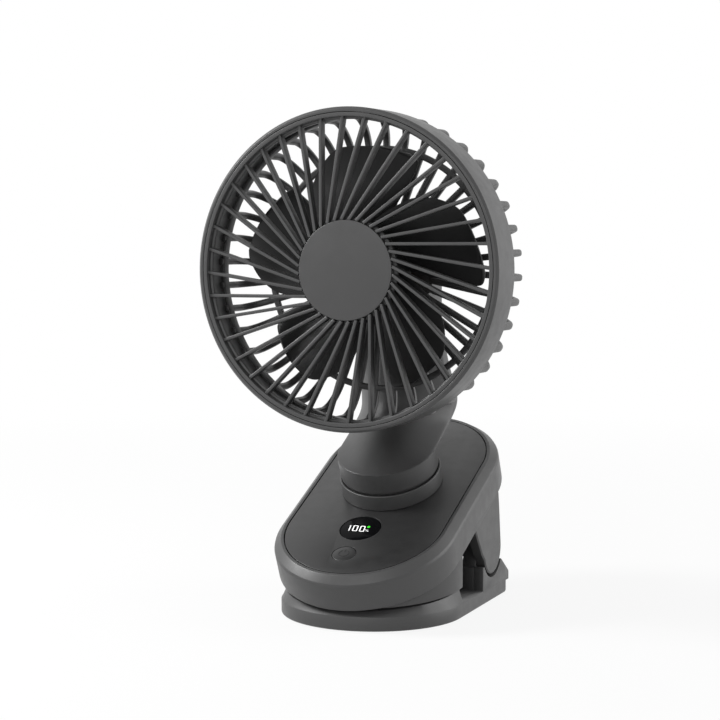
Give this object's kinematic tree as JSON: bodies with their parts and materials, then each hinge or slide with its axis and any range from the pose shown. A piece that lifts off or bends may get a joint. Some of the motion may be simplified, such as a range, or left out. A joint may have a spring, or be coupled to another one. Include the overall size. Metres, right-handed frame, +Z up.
{
  "type": "clip fan",
  "caption": "Cordless clip-on desk fan: a round guarded head on a swivelling neck, over a spring-clip base that holds the battery, display and power button.",
  "frame": {"origin": "on the plane the foot pad rests on, on the middle line, under the middle of the front ring's width", "axes": "+X to the fan's left as it faces the user (right in the picture), -Y the way the air blows, +Z up"},
  "size_m": [0.15, 0.143, 0.2418],
  "materials": {
    "casing": "fine matte dark grey",
    "panel": "matte dark grey",
    "blade": "satin near-black",
    "rubber": "matte black",
    "window": "glossy black",
    "steel": "plain",
    "brass": "plain",
    "board": "green lacquer",
    "cell": "foil",
    "copper": "enamelled wire",
    "magnet": "dull"
  },
  "bodies": {
    "lower_jaw": {"lower_jaw_plate": "casing", "lower_jaw_pad": "rubber", "foot_pad": "rubber", "hinge_pin": "steel", "hinge_sleeve": "casing", "clip_spring_right": "steel", "clip_spring_left": "steel"},
    "housing": {"housing_shell": "casing", "top_panel": "panel", "bottom_cover": "casing", "cover_screw_1": "steel", "cover_screw_2": "steel", "cover_screw_3": "steel", "cover_screw_4": "steel", "jaw_wedge": "casing", "upper_jaw_pad": "rubber", "spring_bracket": "steel", "circuit_board": "board", "battery_pack": "cell", "display_window": "window", "display_module": "panel", "push_switch": "steel", "charge_socket": "steel", "charge_board": "board", "swivel_collar": "casing", "swivel_washer": "rubber"},
    "power_button": {"power_button": "panel"},
    "neck": {"neck_rear_shell": "casing", "neck_front_cover": "casing", "swivel_retainer": "steel", "tilt_pin": "steel"},
    "head": {"shroud_band": "casing", "front_grille": "casing", "centre_cap": "casing", "rear_grille": "casing", "tilt_knuckle": "casing", "motor_stator": "copper", "motor_board": "board", "front_bearing": "brass", "rear_bearing": "brass"},
    "rotor": {"impeller": "blade", "rotor_cup": "steel", "rotor_magnet": "magnet", "motor_shaft": "steel"}
  },
  "joints": [
    {"name": "jaw_open", "type": "hinge", "parent": "lower_jaw", "child": "housing", "pos_m": [0, 0.0603, 0.026], "axis": [-1, 0, 0], "range_deg": [0, 35], "stiffness_Nm_per_rad": 1.2, "springref_deg": -28.65, "deforming": ["clip_spring_right", "clip_spring_left"]},
    {"name": "neck_swivel", "type": "hinge", "parent": "housing", "child": "neck", "pos_m": [0, 0.03922, 0.05648], "axis": [0, -0.4051, 0.9143], "range_deg": [-170, 170]},
    {"name": "head_tilt", "type": "hinge", "parent": "neck", "child": "head", "pos_m": [0, 0.043, 0.158], "axis": [-1, 0, 0], "range_deg": [-5, 40]},
    {"name": "fan_spin", "type": "hinge", "parent": "head", "child": "rotor", "pos_m": [0, -0.0219, 0.1669], "axis": [0, -0.9995, 0.0314], "continuous": true},
    {"name": "power_press", "type": "slide", "parent": "housing", "child": "power_button", "axis": [0, 0.4051, -0.9143], "range_m": [0, 0.0006], "stiffness_N_per_m": 600, "springref_m": -0.002}
  ]
}
